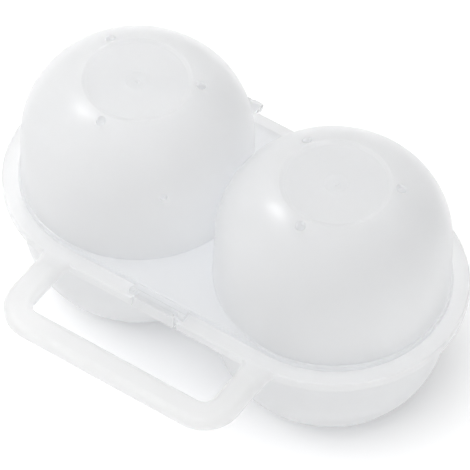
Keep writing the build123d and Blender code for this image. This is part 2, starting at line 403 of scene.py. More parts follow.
# ---- node helpers ----
def set_inputs(node: Node, inputs: Inputs) -> None:
    """Sets a node's inputs.

    Args:
        node: The node.
        inputs: For each input, its plain value, or the socket or node that feeds it; a node does so
            with its first output.
    """
    for key, value in inputs.items():
        if isinstance(value, (Node, NodeSocket)):
            source = value.outputs[0] if isinstance(value, Node) else value
            node.id_data.links.new(source, node.inputs[key])
        else:
            node.inputs[key].default_value = value


def add_node(tree: NodeTree, kind: str, inputs: Inputs | None = None, **settings: object) -> Node:
    """Adds a node to a tree.

    Args:
        tree: The tree.
        kind: Type of the node.
        inputs: What set_inputs takes.
        **settings: The node's own properties.

    Returns:
        The node.
    """
    node = tree.nodes.new(kind)
    for name, value in settings.items():
        setattr(node, name, value)
    set_inputs(node, inputs or {})
    return node


def seen_directly(tree: NodeTree) -> NodeSocket:
    """Adds nodes that tell how a surface is met.

    Args:
        tree: Node tree of a material or world.

    Returns:
        1 for camera, glossy and transmission rays, and 0 for others.
    """
    path = add_node(tree, "ShaderNodeLightPath")
    seen = path.outputs["Is Camera Ray"]
    for ray in ("Is Glossy Ray", "Is Transmission Ray"):
        seen = add_node(tree, "ShaderNodeMath", {0: seen, 1: path.outputs[ray]}, operation="MAXIMUM")
    return seen.outputs[0]


# ---- finishes ----
@dataclass(frozen=True)
class FrostedPolypropylene:
    """Natural polypropylene from a lightly blasted mould: milky, with a soft gloss.

    Lengths are in metres. A painted shade darkens the flat lid plate and everything at or below its top
    height; by default that height is below every piece, so nothing is shaded.
    """

    name: str = "frosted_polypropylene"
    milky: Point3 = (0.912, 0.920, 0.934)
    clear: Point3 = (0.932, 0.940, 0.953)
    roughness: Point2 = (0.285, 0.33)
    alpha: float = 0.55
    ior: float = 1.49
    scatter: float = 1.0
    scatter_depth: float = 0.004
    scatter_colour: Point3 = (1.0, 1.0, 1.0)
    flow_scale: float = 22.0
    flow_detail: float = 3.0
    grain_scale: float = 2600.0
    grain_strength: float = 0.25
    grain_depth: float = 0.00002
    # Painted shade: a darker colour for the flat lid plate and all below its top, the height where it
    # stops, and how far it fades.
    painted_plate_shade: Point3 = (0.825, 0.832, 0.845)
    painted_shade_top: float = -1.0
    painted_shade_blend: float = 0.0004

    def build(self) -> Material:
        """Makes the node material.

        Returns:
            The material, which reads Object coordinates.
        """
        material = bpy.data.materials.new(self.name)
        material.use_nodes = True
        tree = material.node_tree
        place = add_node(tree, "ShaderNodeTexCoord").outputs["Object"]
        flow = add_node(tree, "ShaderNodeTexNoise", {
            "Scale": self.flow_scale, "Detail": self.flow_detail, "Vector": place}).outputs["Fac"]
        tint = add_node(tree, "ShaderNodeMix", {
            "A": (*self.milky, 1.0), "B": (*self.clear, 1.0), "Factor": flow}, data_type="RGBA")
        gloss = add_node(tree, "ShaderNodeMapRange", {
            "To Min": self.roughness[0], "To Max": self.roughness[1], "Value": flow})
        grain = add_node(tree, "ShaderNodeTexNoise", {"Scale": self.grain_scale, "Vector": place})
        bump = add_node(tree, "ShaderNodeBump", {
            "Strength": self.grain_strength, "Distance": self.grain_depth, "Height": grain.outputs["Fac"]})
        set_inputs(tree.nodes["Principled BSDF"], {
            # The base colour carries the painted shade on the flat plate.
            "Base Color": self.plate(tree, place, tint.outputs["Result"]),
            "Roughness": gloss,
            "Normal": bump,
            "IOR": self.ior,
            "Alpha": self.alpha,
            "Subsurface Weight": self.scatter,
            "Subsurface Radius": self.scatter_colour,
            "Subsurface Scale": self.scatter_depth,
        })
        return material

    def plate(self, tree: NodeTree, place: NodeSocket, tint: NodeSocket) -> NodeSocket:
        """Adds painted shade: a darker colour on the flat lid plate and all below its top, where it lies
        low between and under the domes.

        Args:
            tree: Node tree of the material.
            place: Object coordinates.
            tint: The milky colour.

        Returns:
            The milky colour, darkened by the painted shade at and below the plate's top height.
        """
        height = add_node(tree, "ShaderNodeSeparateXYZ", {"Vector": place})
        # Mask of the painted shade: 1 at and below the plate's top height, fading to 0 just above it.
        low = add_node(tree, "ShaderNodeMapRange", {
            "From Min": self.painted_shade_top,
            "From Max": self.painted_shade_top + self.painted_shade_blend,
            "To Min": 1.0,
            "To Max": 0.0,
            "Value": height.outputs["Z"],
        })
        painted_shade_mix = add_node(tree, "ShaderNodeMix", {
            "A": tint, "B": (*self.painted_plate_shade, 1.0), "Factor": low}, data_type="RGBA")
        return painted_shade_mix.outputs["Result"]


@dataclass(frozen=True)
class PaleFloor:
    """White studio floor that keeps the keeper's shadow."""

    name: str = "pale_floor"
    colour: Point3 = (0.95, 0.95, 0.95)
    bounce: Point3 = (0.66, 0.66, 0.66)

    def build(self) -> Material:
        """Makes the floor's material.

        Returns:
            Plain diffuse, white where it is seen and darker for what it throws back.
        """
        material = bpy.data.materials.new(self.name)
        material.use_nodes = True
        tree = material.node_tree
        tree.nodes.remove(tree.nodes["Principled BSDF"])
        seen = seen_directly(tree)
        shade = add_node(tree, "ShaderNodeMix", {
            "A": (*self.bounce, 1.0), "B": (*self.colour, 1.0), "Factor": seen}, data_type="RGBA")
        diffuse = add_node(tree, "ShaderNodeBsdfDiffuse", {"Color": shade.outputs["Result"]})
        set_inputs(tree.nodes["Material Output"], {"Surface": diffuse})
        return material


# ---- geometry node trees ----
CONE_SIDES = 40
CORNER_STEPS = 20
EDGE_STEPS = 7


class NodeTreeKit:
    """Geometry Nodes tree with named inputs, which makes a plain mesh."""

    def __init__(self, name: str, sizes: Sequence[str], others: dict[str, str]) -> None:
        """Starts the tree.

        Args:
            name: Name of the tree.
            sizes: Names of the inputs that are plain sizes or angles.
            others: Names and socket types of the other inputs.
        """
        self.tree = bpy.data.node_groups.new(name, "GeometryNodeTree")
        self.tree.interface.new_socket("Geometry", in_out="OUTPUT", socket_type="NodeSocketGeometry")
        self.inputs: dict[str, str] = {}
        for key, kind in (dict.fromkeys(sizes, "NodeSocketFloat") | others).items():
            socket = self.tree.interface.new_socket(key, in_out="INPUT", socket_type=kind)
            self.inputs[key] = socket.identifier
        self.source = self.tree.nodes.new("NodeGroupInput")

    def node(self, kind: str, inputs: Inputs | None = None, **settings: object) -> Node:
        """Adds a node as add_node does; a text value stands for the tree's input of that name."""
        own, fed = self.source.outputs, dict(inputs or {})
        fed.update({key: own[value] for key, value in fed.items() if isinstance(value, str)})
        return add_node(self.tree, kind, fed, **settings)

    def close(self, geometry: Node) -> None:
        """Ends the tree with realized instances and the Material input set on them.

        Args:
            geometry: The node that has made the mesh.
        """
        realize = self.node("GeometryNodeRealizeInstances", {"Geometry": geometry})
        finish = self.node("GeometryNodeSetMaterial", {"Geometry": realize, "Material": "Material"})
        self.node("NodeGroupOutput", {"Geometry": finish})

    def run(self, name: str, values: dict[str, object]) -> Object:
        """Runs the tree on an empty mesh.

        Args:
            name: Name of the object that it makes.
            values: A value for each named input.

        Returns:
            An object with the resulting plain mesh.
        """
        obj = bpy.data.objects.new(name, bpy.data.meshes.new(name))
        step = obj.modifiers.new(self.tree.name, "NODES")
        step.node_group = self.tree
        for key, value in values.items():
            step[self.inputs[key]] = value
        bpy.context.scene.collection.objects.link(obj)
        bake_modifiers(obj)
        return obj


def vent_tree() -> NodeTreeKit:
    """Sets leaning cones evenly round an egg axis: the tools that core out the vents.

    Returns:
        The tree.
    """
    sizes = ("Circle Radius", "Inner Radius", "Outer Radius", "Length", "Lean", "Start Angle")
    kit = NodeTreeKit("vent_tools", sizes, {
        "Count": "NodeSocketInt", "Centre": "NodeSocketVector", "Material": "NodeSocketMaterial"})
    tool = kit.node("GeometryNodeMeshCone", {
        "Vertices": CONE_SIDES, "Radius Top": "Outer Radius", "Radius Bottom": "Inner Radius",
        "Depth": "Length"})
    lean = kit.node("ShaderNodeCombineXYZ", {"Y": "Lean"})
    out = kit.node("ShaderNodeCombineXYZ", {"X": "Circle Radius"})
    set_out = kit.node("GeometryNodeTransform", {"Geometry": tool, "Rotation": lean, "Translation": out})
    places = kit.node("GeometryNodePoints", {"Count": "Count"})
    share = kit.node("ShaderNodeMath", {0: 2 * math.pi, 1: "Count"}, operation="DIVIDE")
    number = kit.node("GeometryNodeInputIndex")
    angle = kit.node("ShaderNodeMath", {0: number, 1: share, 2: "Start Angle"}, operation="MULTIPLY_ADD")
    turn = kit.node("ShaderNodeCombineXYZ", {"Z": angle})
    spread = kit.node("GeometryNodeInstanceOnPoints", {
        "Points": places, "Instance": set_out, "Rotation": turn})
    kit.close(kit.node("GeometryNodeTransform", {"Geometry": spread, "Translation": "Centre"}))
    return kit


def bar_tree() -> NodeTreeKit:
    """Draws a round-edged bar along a round-cornered U: the carry handle.

    Returns:
        The tree.
    """
    sizes = ("Half Span", "Leg Y", "Bar Y", "Height", "Corner Radius", "Bar Width", "Bar Thickness",
             "Edge Radius")
    kit = NodeTreeKit("handle_bar", sizes, {"Material": "NodeSocketMaterial"})
    ends = []
    for x_sign, y_name in ((-1, "Leg Y"), (-1, "Bar Y"), (1, "Bar Y"), (1, "Leg Y")):
        flip = kit.node("ShaderNodeMath", {0: "Half Span", 1: x_sign}, operation="MULTIPLY")
        ends.append(kit.node("ShaderNodeCombineXYZ", {"X": flip, "Y": y_name, "Z": "Height"}))
    path = kit.node("GeometryNodeJoinGeometry")
    for start, end in zip(ends, ends[1:]):
        run = {"Count": 2, "Start Location": start, "Offset": end}
        set_inputs(path, {"Geometry": kit.node("GeometryNodeMeshLine", run, mode="END_POINTS")})
    weld = kit.node("GeometryNodeMergeByDistance", {"Geometry": path})
    curve = kit.node("GeometryNodeMeshToCurve", {"Mesh": weld})
    section = kit.node("GeometryNodeCurvePrimitiveQuadrilateral", {
        "Width": "Bar Width", "Height": "Bar Thickness"})
    rounds = []
    outlines = ((curve, "Corner Radius", CORNER_STEPS), (section, "Edge Radius", EDGE_STEPS))
    for drawn, radius, steps in outlines:
        shape = {"Curve": drawn, "Count": steps, "Radius": radius}
        rounds.append(kit.node("GeometryNodeFilletCurve", shape, mode="POLY"))
    kit.close(kit.node("GeometryNodeCurveToMesh", {
        "Fill Caps": True, "Curve": rounds[0], "Profile Curve": rounds[1]}))
    return kit


# ---- the egg pockets ----
@dataclass(frozen=True)
class EggPocket:
    """Section of a cup or a dome, drawn from its crown to its mouth."""

    height: float
    crown_r: float
    rim: float
    recess: float
    slope: float
    mouth_r: float
    root_fillet: float
    wall: float = 1.2
    taper: float = 0.2
    shoulder_r: float = 19.8
    shoulder_trim: float = 1.2
    edge_round: float = 0.6
    lap: float = 0.05
    sunk: float = 0.6
    well_r: float = 2.8
    well_depth: float = 0.25
    nub_r: float = 0.5
    nub_height: float = 0.2
    gate_mark: bool = True
    segments: int = 160

    def shoulder(self) -> Point2:
        """Middle of the shoulder's arc, as radius and height above the mouth."""
        middle = self.mouth_r - self.taper - self.shoulder_r
        return middle, self.height - math.sqrt(self.shoulder_r**2 - (self.crown_r - middle) ** 2)

    def gate(self) -> list[Point2]:
        """Shallow dished well in the sunk disc, with the gate's nub in its middle.

        Returns:
            (radius, height above the mouth) points; the small offsets draw the soft edges.
        """
        top = self.height - self.recess
        floor = top - self.well_depth
        nub = floor + self.nub_height
        return [
            (0.0, nub),
            (self.nub_r * 0.7, nub - 0.03),
            (self.nub_r, floor + 0.02),
            (self.nub_r + 0.1, floor),
            (self.well_r - 1.3, floor + 0.01),
            (self.well_r - 0.9, floor + 0.05),
            (self.well_r - 0.1, top - 0.03),
            (self.well_r, top),
        ]

    def outside(self) -> list[Point2]:
        """Outer skin from the axis at the crown to just under the mouth.

        Returns:
            (radius, height above the mouth) points.
        """
        middle = self.shoulder()
        recess_r = self.crown_r - self.rim
        floor = (recess_r - self.slope, self.height - self.recess)
        lip = (recess_r, self.height)
        edge = (self.crown_r, self.height)
        start = math.degrees(math.atan2(edge[1] - middle[1], edge[0] - middle[0]))
        points = self.gate() if self.gate_mark else [(0.0, floor[1])]
        points += rounded(floor, (0.0, floor[1]), lip, self.edge_round)
        if self.rim > 0.0:
            points += rounded(lip, floor, edge, self.edge_round / 2)
        tangent = (edge[0] + math.sin(math.radians(start)), edge[1] - math.cos(math.radians(start)))
        points += rounded(edge, lip if self.rim > 0.0 else floor, tangent, self.edge_round)
        points += arc(middle, self.shoulder_r, start - self.shoulder_trim, 0.0, 40)
        foot = self.mouth_r + self.root_fillet
        points.append((self.mouth_r, self.root_fillet))
        points += arc((foot, self.root_fillet), self.root_fillet, 190.0, 262.0, 6)
        return [*points, (foot, -self.lap), (foot, -self.sunk), (0.0, -self.sunk)]

    def inside(self, overshoot: float) -> list[Point2]:
        """Hollow from the axis under the crown to past the mouth.

        Args:
            overshoot: How far the hollow is drawn on beyond the mouth.

        Returns:
            (radius, height above the mouth) points.
        """
        middle = self.shoulder()
        radius = self.shoulder_r - self.wall
        ceiling = self.height - self.recess - self.wall
        start = math.degrees(math.asin((ceiling - middle[1]) / radius))
        mouth = self.mouth_r - self.wall
        shoulder = arc(middle, radius, start, 0.0, 30)
        return [(0.0, ceiling), *shoulder, (mouth, 0.0), (mouth, -overshoot), (0.0, -overshoot)]

    def solid(self, name: str, skin_points: list[Point2], centre: Point2, mouth_z: float,
              up: int) -> Object:
        """Revolves a skin about an egg axis.

        Args:
            name: Name of the object.
            skin_points: What outside or inside gives.
            centre: The egg axis in plan.
            mouth_z: Height of the mouth.
            up: 1 for a dome that stands on its mouth, -1 for a cup that hangs from it.

        Returns:
            The solid.
        """
        return revolve(name, [(r, mouth_z + up * h) for r, h in skin_points], centre, self.segments)


def stadium(frame: KeeperFrame, radius: float, z: float) -> list[Point3]:
    """Draws a loop with round ends about the two egg axes.

    Args:
        frame: The keeper's main sizes.
        radius: End radius and half width.
        z: Height of the loop.

    Returns:
        The loop's points.
    """
    right = arc(frame.egg_axis(Side.RIGHT), radius, -90.0, 90.0, END_STEPS)
    left = arc(frame.egg_axis(Side.LEFT), radius, 90.0, 270.0, END_STEPS)
    return [(px, py, z) for px, py in right + left]


def plate(name: str, frame: KeeperFrame, radius: float, z: Point2, top_round: float,
          bottom_round: float | None = None) -> Object:
    """Flat plate with round ends and rounded rims.

    Args:
        name: Name of the object.
        frame: The keeper's main sizes.
        radius: End radius and half width.
        z: Lower and upper face.
        top_round: Round of the upper rim.
        bottom_round: Round of the lower rim, where it differs.

    Returns:
        The plate.
    """
    bottom_round = bottom_round or top_round
    section = arc((radius - bottom_round, z[0] + bottom_round), bottom_round, -90.0, 0.0, 5)
    section += arc((radius - top_round, z[1] - top_round), top_round, 0.0, 90.0, 5)
    return skin(name, [stadium(frame, r, h) for r, h in section])


def rounded_rectangle(middle: Point3, width: float, height: float, radius: float) -> list[Point3]:
    """Draws an upright loop across Y: a rectangle with round corners.

    Args:
        middle: Its middle.
        width: Size along X.
        height: Size along Z.
        radius: Radius of the corners.

    Returns:
        The loop's points.
    """
    x, y, z = middle
    points: list[Point3] = []
    for sx, sz, start in ((1, -1, -90.0), (1, 1, 0.0), (-1, 1, 90.0), (-1, -1, 180.0)):
        centre = (x + sx * (width / 2 - radius), z + sz * (height / 2 - radius))
        points += [(px, y, pz) for px, pz in arc(centre, radius, start, start + 90.0, 7)]
    return points


# ---- base moulding ----
@dataclass
class BaseMoulding:
    """Cups, flange, carry handle and hinge ears, moulded in one piece."""

    frame: KeeperFrame
    foot_inset: float = 15.0
    foot_rim: float = 2.0
    foot_recess: float = 0.8
    foot_slope: float = 0.4
    flange_round: float = 0.4
    under_round: float = 0.2
    lip_width: float = 1.2
    bar_width: float = 6.7
    bar_edge: float = 1.9
    corner_r: float = 6.0
    root_length: float = 4.6
    root_lap: float = 0.4
    root_share: float = 0.97
    root_round: float = 0.47
    root_steps: int = 16
    flare_in: float = 2.4
    flare_out: float = 1.3
    seat_inset: float = 0.8
    ear_lap: float = 0.3
    ear_inset: float = 0.05
    ear_edge: float = 0.18
    bore_r: float = 0.8
    bore_half: float = 8.0
    slot_depth: float = 5.0
    notch_gap: float = 0.7
    notch_depth: float = 6.0
    overshoot: float = 1.0
    replaced: tuple[str, ...] = (
        "base_flange", "carry_handle", "left_cup", "right_cup", "left_inner_hinge_ear",
        "left_outer_hinge_ear", "right_inner_hinge_ear", "right_outer_hinge_ear")

    def pocket(self) -> EggPocket:
        """Section of the cups."""
        frame = self.frame
        return EggPocket(
            height=frame.flange_z[0] - frame.foot_z,
            crown_r=frame.mouth_r - self.foot_inset,
            rim=self.foot_rim,
            recess=self.foot_recess,
            slope=self.foot_slope,
            mouth_r=frame.mouth_r,
            root_fillet=frame.root_fillet,
            gate_mark=False,
        )

    def handle(self, material: Material) -> list[Object]:
        """Handle bar, with the two flared roots that run into the flange.

        Args:
            material: Its finish.

        Returns:
            The bar and the roots.
        """
        frame = self.frame
        low, high = frame.handle_low, frame.handle_high
        middle = (low[2] + high[2]) / 2
        thickness = high[2] - low[2]
        half_span = (high[0] - low[0]) / 2 - self.flare_out - self.bar_width / 2
        leg_y = frame.egg_line - frame.flange_r + self.seat_inset - self.root_length
        bar = bar_tree().run("handle_bar", {
            "Half Span": half_span,
            "Leg Y": leg_y,
            "Bar Y": low[1] + self.bar_width / 2,
            "Height": middle,
            "Corner Radius": self.corner_r,
            "Bar Width": self.bar_width,
            "Bar Thickness": thickness,
            "Edge Radius": self.bar_edge,
            "Material": material,
        })
        return [bar, *(self.handle_root(side, half_span, leg_y, middle, thickness) for side in Side)]

    def handle_root(self, side: Side, half_span: float, leg_y: float, middle: float,
                    thickness: float) -> Object:
        """Leg's end, which widens and thins until it is part of the flange's edge.

        Args:
            side: Which leg.
            half_span: Distance of the leg's middle from the keeper's.
            leg_y: Where the root begins.
            middle: Height of the bar's middle.
            thickness: Height of the bar.

        Returns:
            The root, which ends inside the flange.
        """
        frame = self.frame
        edge_t = (frame.flange_z[1] - frame.lip_z) * self.root_share
        edge_z = (frame.flange_z[1] + frame.lip_z) / 2
        loops = []
        for i in range(self.root_steps + 1):
            along = i / self.root_steps
            widen = along**3
            thin = 3 * along**2 - 2 * along**3
            width = self.bar_width + (self.flare_in + self.flare_out) * widen
            x = side.value * (half_span + (self.flare_out - self.flare_in) / 2 * widen)
            height = thickness + (edge_t - thickness) * thin
            y = leg_y - self.root_lap + (self.root_length + 2 * self.root_lap) * along
            z = middle + (edge_z - middle) * thin
            radius = min(self.bar_edge, height * self.root_round)
            loops.append(rounded_rectangle((x, y, z), width, height, radius))
        return skin(f"handle_root_{side.name.lower()}", loops)

    def ears(self) -> list[Object]:
        """The two ears at each end of the hinge.

        Returns:
            The four ears, whose roots end inside the flange.
        """
        frame = self.frame
        gap, knuckle, half = frame.hinge_gap, frame.hinge_x, frame.knuckle_half
        root = frame.egg_line + frame.flange_r - self.seat_inset - self.ear_lap
        outline = [(root, frame.flange_z[1] - self.ear_inset), (root, frame.lip_z + self.ear_inset)]
        outline += arc(frame.hinge[1:], frame.ear_r, -90.0, 105.0, 26)
        pieces = []
        for side in Side:
            spans = ((frame.ear_x[0], knuckle - half - gap), (knuckle + half + gap, frame.ear_x[1]))
            for x0, x1 in spans:
                low, high = sorted((side.value * x0, side.value * x1))
                ear = extrude_x(f"ear_{side.name.lower()}", outline, low, high)
                soften(ear, self.ear_edge, 2, 40.0)
                pieces.append(ear)
        return pieces

    def cuts(self) -> list[Object]:
        """Everything that is cut out: hollows, latch notch, knuckle slots and bores.

        Returns:
            The tools, each longer than what it cuts.
        """
        frame = self.frame
        pocket = self.pocket()
        over = self.overshoot
        tools = []
        slab = (frame.lip_z - over, frame.flange_z[1] + over)
        half = frame.knuckle_half + frame.hinge_gap
        slot_y = frame.hinge[1] - frame.knuckle_r - frame.hinge_gap
        for side in Side:
            hollow = pocket.inside(frame.flange_z[1] - frame.flange_z[0] + over)
            tools.append(pocket.solid("hollow", hollow, frame.egg_axis(side), frame.flange_z[0], -1))
            x = side.value * frame.hinge_x
            far = (x + half, slot_y + self.slot_depth, slab[1])
            tools.append(box("slot", (x - half, slot_y, slab[0]), far))
            span = (x - self.bore_half, x + self.bore_half)
            tools.append(cylinder_x("bore", self.bore_r, span, frame.hinge[1:]))
        x0, x1 = frame.flap_low[0] - self.notch_gap, frame.flap_high[0] + self.notch_gap
        inside = frame.bend[1] - frame.bend_gap + frame.latch_gap
        lip = frame.egg_line - frame.flange_r + self.lip_width
        tools.append(box("notch", (x0, inside - self.notch_depth, slab[0]), (x1, inside, slab[1])))
        low = (x0, lip - self.notch_depth, frame.lip_z - 2 * over)
        tools.append(box("notch", low, (x1, lip, frame.flange_z[0])))
        return tools

    def build(self, material: Material) -> Object:
        """Builds, dresses and places the moulding.

        Args:
            material: Its finish.

        Returns:
            The moulding.
        """
        frame = self.frame
        pocket = self.pocket()
        edge = (frame.lip_z, frame.flange_z[1])
        body = plate("base_moulding", frame, frame.flange_r, edge, self.flange_round)
        below = (frame.lip_z - 2 * self.overshoot, frame.flange_z[0])
        under = plate("under", frame, frame.flange_r - self.lip_width, below, self.under_round)
        combine(body, [under], Operation.CUT)
        cups = [pocket.solid("cup", pocket.outside(), frame.egg_axis(side), frame.flange_z[0], -1)
                for side in Side]
        combine(body, cups, Operation.JOIN)
        combine(body, self.handle(material), Operation.JOIN)
        combine(body, self.ears(), Operation.JOIN)
        combine(body, self.cuts(), Operation.CUT)
        dress(body, material)
        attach(body, "base")
        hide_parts(*self.replaced)
        return body


# ---- lid moulding ----
@dataclass
class LidMoulding:
    """Domes, plate, latch tongue and hinge knuckles, moulded in one piece."""

    frame: KeeperFrame
    crown_inset: float = 14.5
    crown_recess: float = 0.35
    crown_slope: float = 1.1
    top_round: float = 0.25
    bottom_round: float = 0.1
    vent_count: int = 3
    vent_r: float = 1.1
    vent_round: float = 0.3
    vent_offset: float = 1.8
    vent_start: float = 30.0
    vent_lap: float = 0.02
    vent_ease: float = 0.6
    pin_below: float = 4.0
    pin_length: float = 12.0
    side_vent_r: float = 0.9
    side_vent_height: float = 19.4
    side_vent_angle: float = -42.0
    side_vent_sides: int = 28
    tongue_margin: float = 2.0
    tongue_dip: float = 0.35
    tongue_bar: float = 1.2
    tongue_ramp: float = 0.15
    tongue_lift: float = 0.03
    tongue_root: float = 1.5
    tongue_edge: float = 0.22
    web_lap: float = 0.3
    arm_root: float = 1.2
    pin_r: float = 0.75
    pin_edge: float = 0.15
    overshoot: float = 1.0
    replaced: tuple[str, ...] = (
        "lid_plate", "left_dome", "right_dome", "left_hinge_knuckle", "right_hinge_knuckle")

    def pocket(self) -> EggPocket:
        """Section of the domes."""
        frame = self.frame
        return EggPocket(
            height=frame.crown_z - frame.lid_z[1],
            crown_r=frame.mouth_r - self.crown_inset,
            rim=0.0,
            recess=self.crown_recess,
            slope=self.crown_slope,
            mouth_r=frame.mouth_r,
            root_fillet=frame.root_fillet,
        )

    def tongue(self) -> Object:
        """Tongue over the flange, thinner behind the bar that the latch bends on.

        Returns:
            The tongue, whose root ends inside the plate.
        """
        frame = self.frame
        top = frame.lid_z[1]
        dip = top - self.tongue_dip
        bottom = frame.lid_z[0] + self.tongue_lift
        root = frame.egg_line - frame.lid_r + self.tongue_root
        end = frame.bend[1] + frame.bend_gap
        bar = end + self.tongue_bar
        ramp = bar + self.tongue_ramp
        outline = [(root, bottom), (root, dip), (ramp, dip), (bar, top), (end, top), (end, bottom)]
        x0, x1 = frame.flap_low[0] - self.tongue_margin, frame.flap_high[0] + self.tongue_margin
        tongue = extrude_x("tongue", outline, x0, x1)
        soften(tongue, self.tongue_edge, 3, 25.0)
        return tongue

    def web(self) -> Object:
        """The lid's half of the thin web that the latch bends on.

        Returns:
            The half web, which ends inside the tongue.
        """
        frame = self.frame
        low = (frame.flap_low[0] + frame.relief_r, frame.bend[1], frame.lid_z[1] - frame.web_t)
        end = frame.bend[1] + frame.bend_gap + self.web_lap
        return box("web", low, (frame.flap_high[0] - frame.relief_r, end, frame.lid_z[1]))

    def knuckles(self) -> list[Object]:
        """Knuckle, arm and stub pins of each hinge.

        Returns:
            An arm with its knuckle and a bar with both pins for each side.
        """
        frame = self.frame
        axis = frame.hinge[1:]
        radius, half = frame.knuckle_r, frame.knuckle_half
        root = frame.egg_line + frame.lid_r - self.arm_root
        # Small offsets keep the arm off the plate's own faces.
        outline = [(root, frame.lid_z[0] + 0.3), (axis[0] - radius + 0.1, frame.lid_z[0] + 0.25)]
        outline += arc(axis, radius, 176.0, 440.0, 30)
        outline += [(root, frame.lid_z[1] - 0.02)]
        reach = (frame.knuckle_x[1] - frame.knuckle_x[0]) / 2
        pieces = []
        for side in Side:
            x = side.value * frame.hinge_x
            arm = extrude_x(f"knuckle_{side.name.lower()}", outline, x - half, x + half)
            pin = cylinder_x("stub_pins", self.pin_r, (x - reach, x + reach), axis)
            for piece in (arm, pin):
                soften(piece, self.pin_edge, 2, 40.0)
                pieces.append(piece)
        return pieces

    def vents(self, material: Material) -> list[Object]:
        """Tools that core out the crown vents of both domes and ease their edges, and the low vent's pin.

        Args:
            material: Finish of the lid.

        Returns:
            The tools.
        """
        frame = self.frame
        pocket = self.pocket()
        kit = vent_tree()
        middle = pocket.shoulder()
        out = pocket.crown_r + self.vent_offset
        rise = math.sqrt(pocket.shoulder_r**2 - (out - middle[0]) ** 2)
        surface = frame.lid_z[1] + middle[1] + rise
        lean = math.atan2(out - middle[0], rise)
        ease = self.vent_ease * self.vent_round
        mouth = (self.vent_r - self.vent_lap, self.vent_r + self.vent_round)
        shapes = {
            "pins": (self.vent_r, self.vent_r, self.pin_below, self.pin_length, 0.0),
            "mouths": (*mouth, ease, 2 * ease, lean),
        }
        tools = [self.side_vent(pocket)]
        for side in Side:
            for kind, (inner, outer, below, length, tilt) in shapes.items():
                centre = (side.value * frame.pitch / 2, frame.egg_line, surface - below * math.cos(tilt))
                tools.append(kit.run(f"vent_{kind}_{side.name.lower()}", {
                    "Count": self.vent_count,
                    "Circle Radius": out - below * math.sin(tilt),
                    "Inner Radius": inner,
                    "Outer Radius": outer,
                    "Length": length,
                    "Lean": tilt,
                    "Start Angle": math.radians(self.vent_start),
                    "Centre": centre,
                    "Material": material,
                }))
        return tools

    def side_vent(self, pocket: EggPocket) -> Object:
        """Pin of the low vent, square to the shoulder where it comes out.

        Args:
            pocket: Section of the domes.

        Returns:
            The pin.
        """
        frame = self.frame
        middle = pocket.shoulder()
        rise = self.side_vent_height - middle[1]
        run = math.sqrt(pocket.shoulder_r**2 - rise**2)
        span = (0.6 * pocket.shoulder_r, 1.4 * pocket.shoulder_r)
        pin = cylinder_x("side_vent", self.side_vent_r, span, segments=self.side_vent_sides)
        lean = Matrix.Rotation(-math.atan2(rise, run), 4, "Y")
        turn = Matrix.Rotation(math.radians(self.side_vent_angle), 4, "Z")
        out = Matrix.Translation((middle[0], 0.0, 0.0))
        home = Matrix.Translation((-frame.pitch / 2, frame.egg_line, frame.lid_z[1] + middle[1]))
        pin.data.transform(home @ turn @ out @ lean)
        return pin

    def build(self, material: Material) -> Object:
        """Builds, dresses and places the moulding.

        Args:
            material: Its finish.

        Returns:
            The moulding.
        """
        frame = self.frame
        pocket = self.pocket()
        low, high = frame.lid_z
        body = plate("lid_moulding", frame, frame.lid_r, frame.lid_z, self.top_round, self.bottom_round)
        domes, hollows = [], []
        for side in Side:
            centre = frame.egg_axis(side)
            inside = pocket.inside(high - low + self.overshoot)
            domes.append(pocket.solid("dome", pocket.outside(), centre, high, 1))
            hollows.append(pocket.solid("hollow", inside, centre, high, 1))
        combine(body, domes, Operation.JOIN)
        combine(body, [self.tongue(), self.web(), *self.knuckles()], Operation.JOIN)
        bottom, top = low - 2 * self.overshoot, high + 2 * self.overshoot
        profile = [(0.0, bottom), (frame.relief_r, bottom), (frame.relief_r, top), (0.0, top)]
        reliefs = [revolve("relief", profile, (x, frame.bend[1] + frame.bend_gap), 32)
                   for x in (frame.flap_low[0], frame.flap_high[0])]
        combine(body, [*hollows, *reliefs, *self.vents(material)], Operation.CUT)
        dress(body, material)
        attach(body, "lid")
        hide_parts(*self.replaced)
        return body


# ---- latch ----
@dataclass
class LatchFlap:
    """Flap that bends on the lid's tongue and snaps under the flange."""

    frame: KeeperFrame
    thickness: float = 0.9
    hook_reach: float = 0.85
    edge: float = 0.3
    web_lap: float = 0.3

    def build(self, material: Material) -> Object:
        """Builds, dresses and places the flap.

        Args:
            material: Its finish.

        Returns:
            The flap.
        """
        frame = self.frame
        inside = frame.bend[1] - frame.bend_gap
        outside = inside - self.thickness
        top, bottom = frame.flap_high[2], frame.flap_low[2]
        hook_top = frame.flange_z[0] - frame.latch_gap
        hook = inside + self.hook_reach
        outline = [(inside, top), (outside, top), (outside, bottom), (inside, bottom),
                   (hook, (hook_top + bottom) / 2), (hook, hook_top), (inside, hook_top)]
        flap = extrude_x("latch_flap_skin", outline, frame.flap_low[0], frame.flap_high[0])
        soften(flap, self.edge, 4, 25.0)
        low = (frame.flap_low[0] + frame.relief_r, inside - self.web_lap, top - frame.web_t)
        high = (frame.flap_high[0] - frame.relief_r, frame.bend[1], top)
        combine(flap, [box("web", low, high)], Operation.JOIN)
        dress(flap, material)
        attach(flap, "latch")
        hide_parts("latch_flap")
        return flap


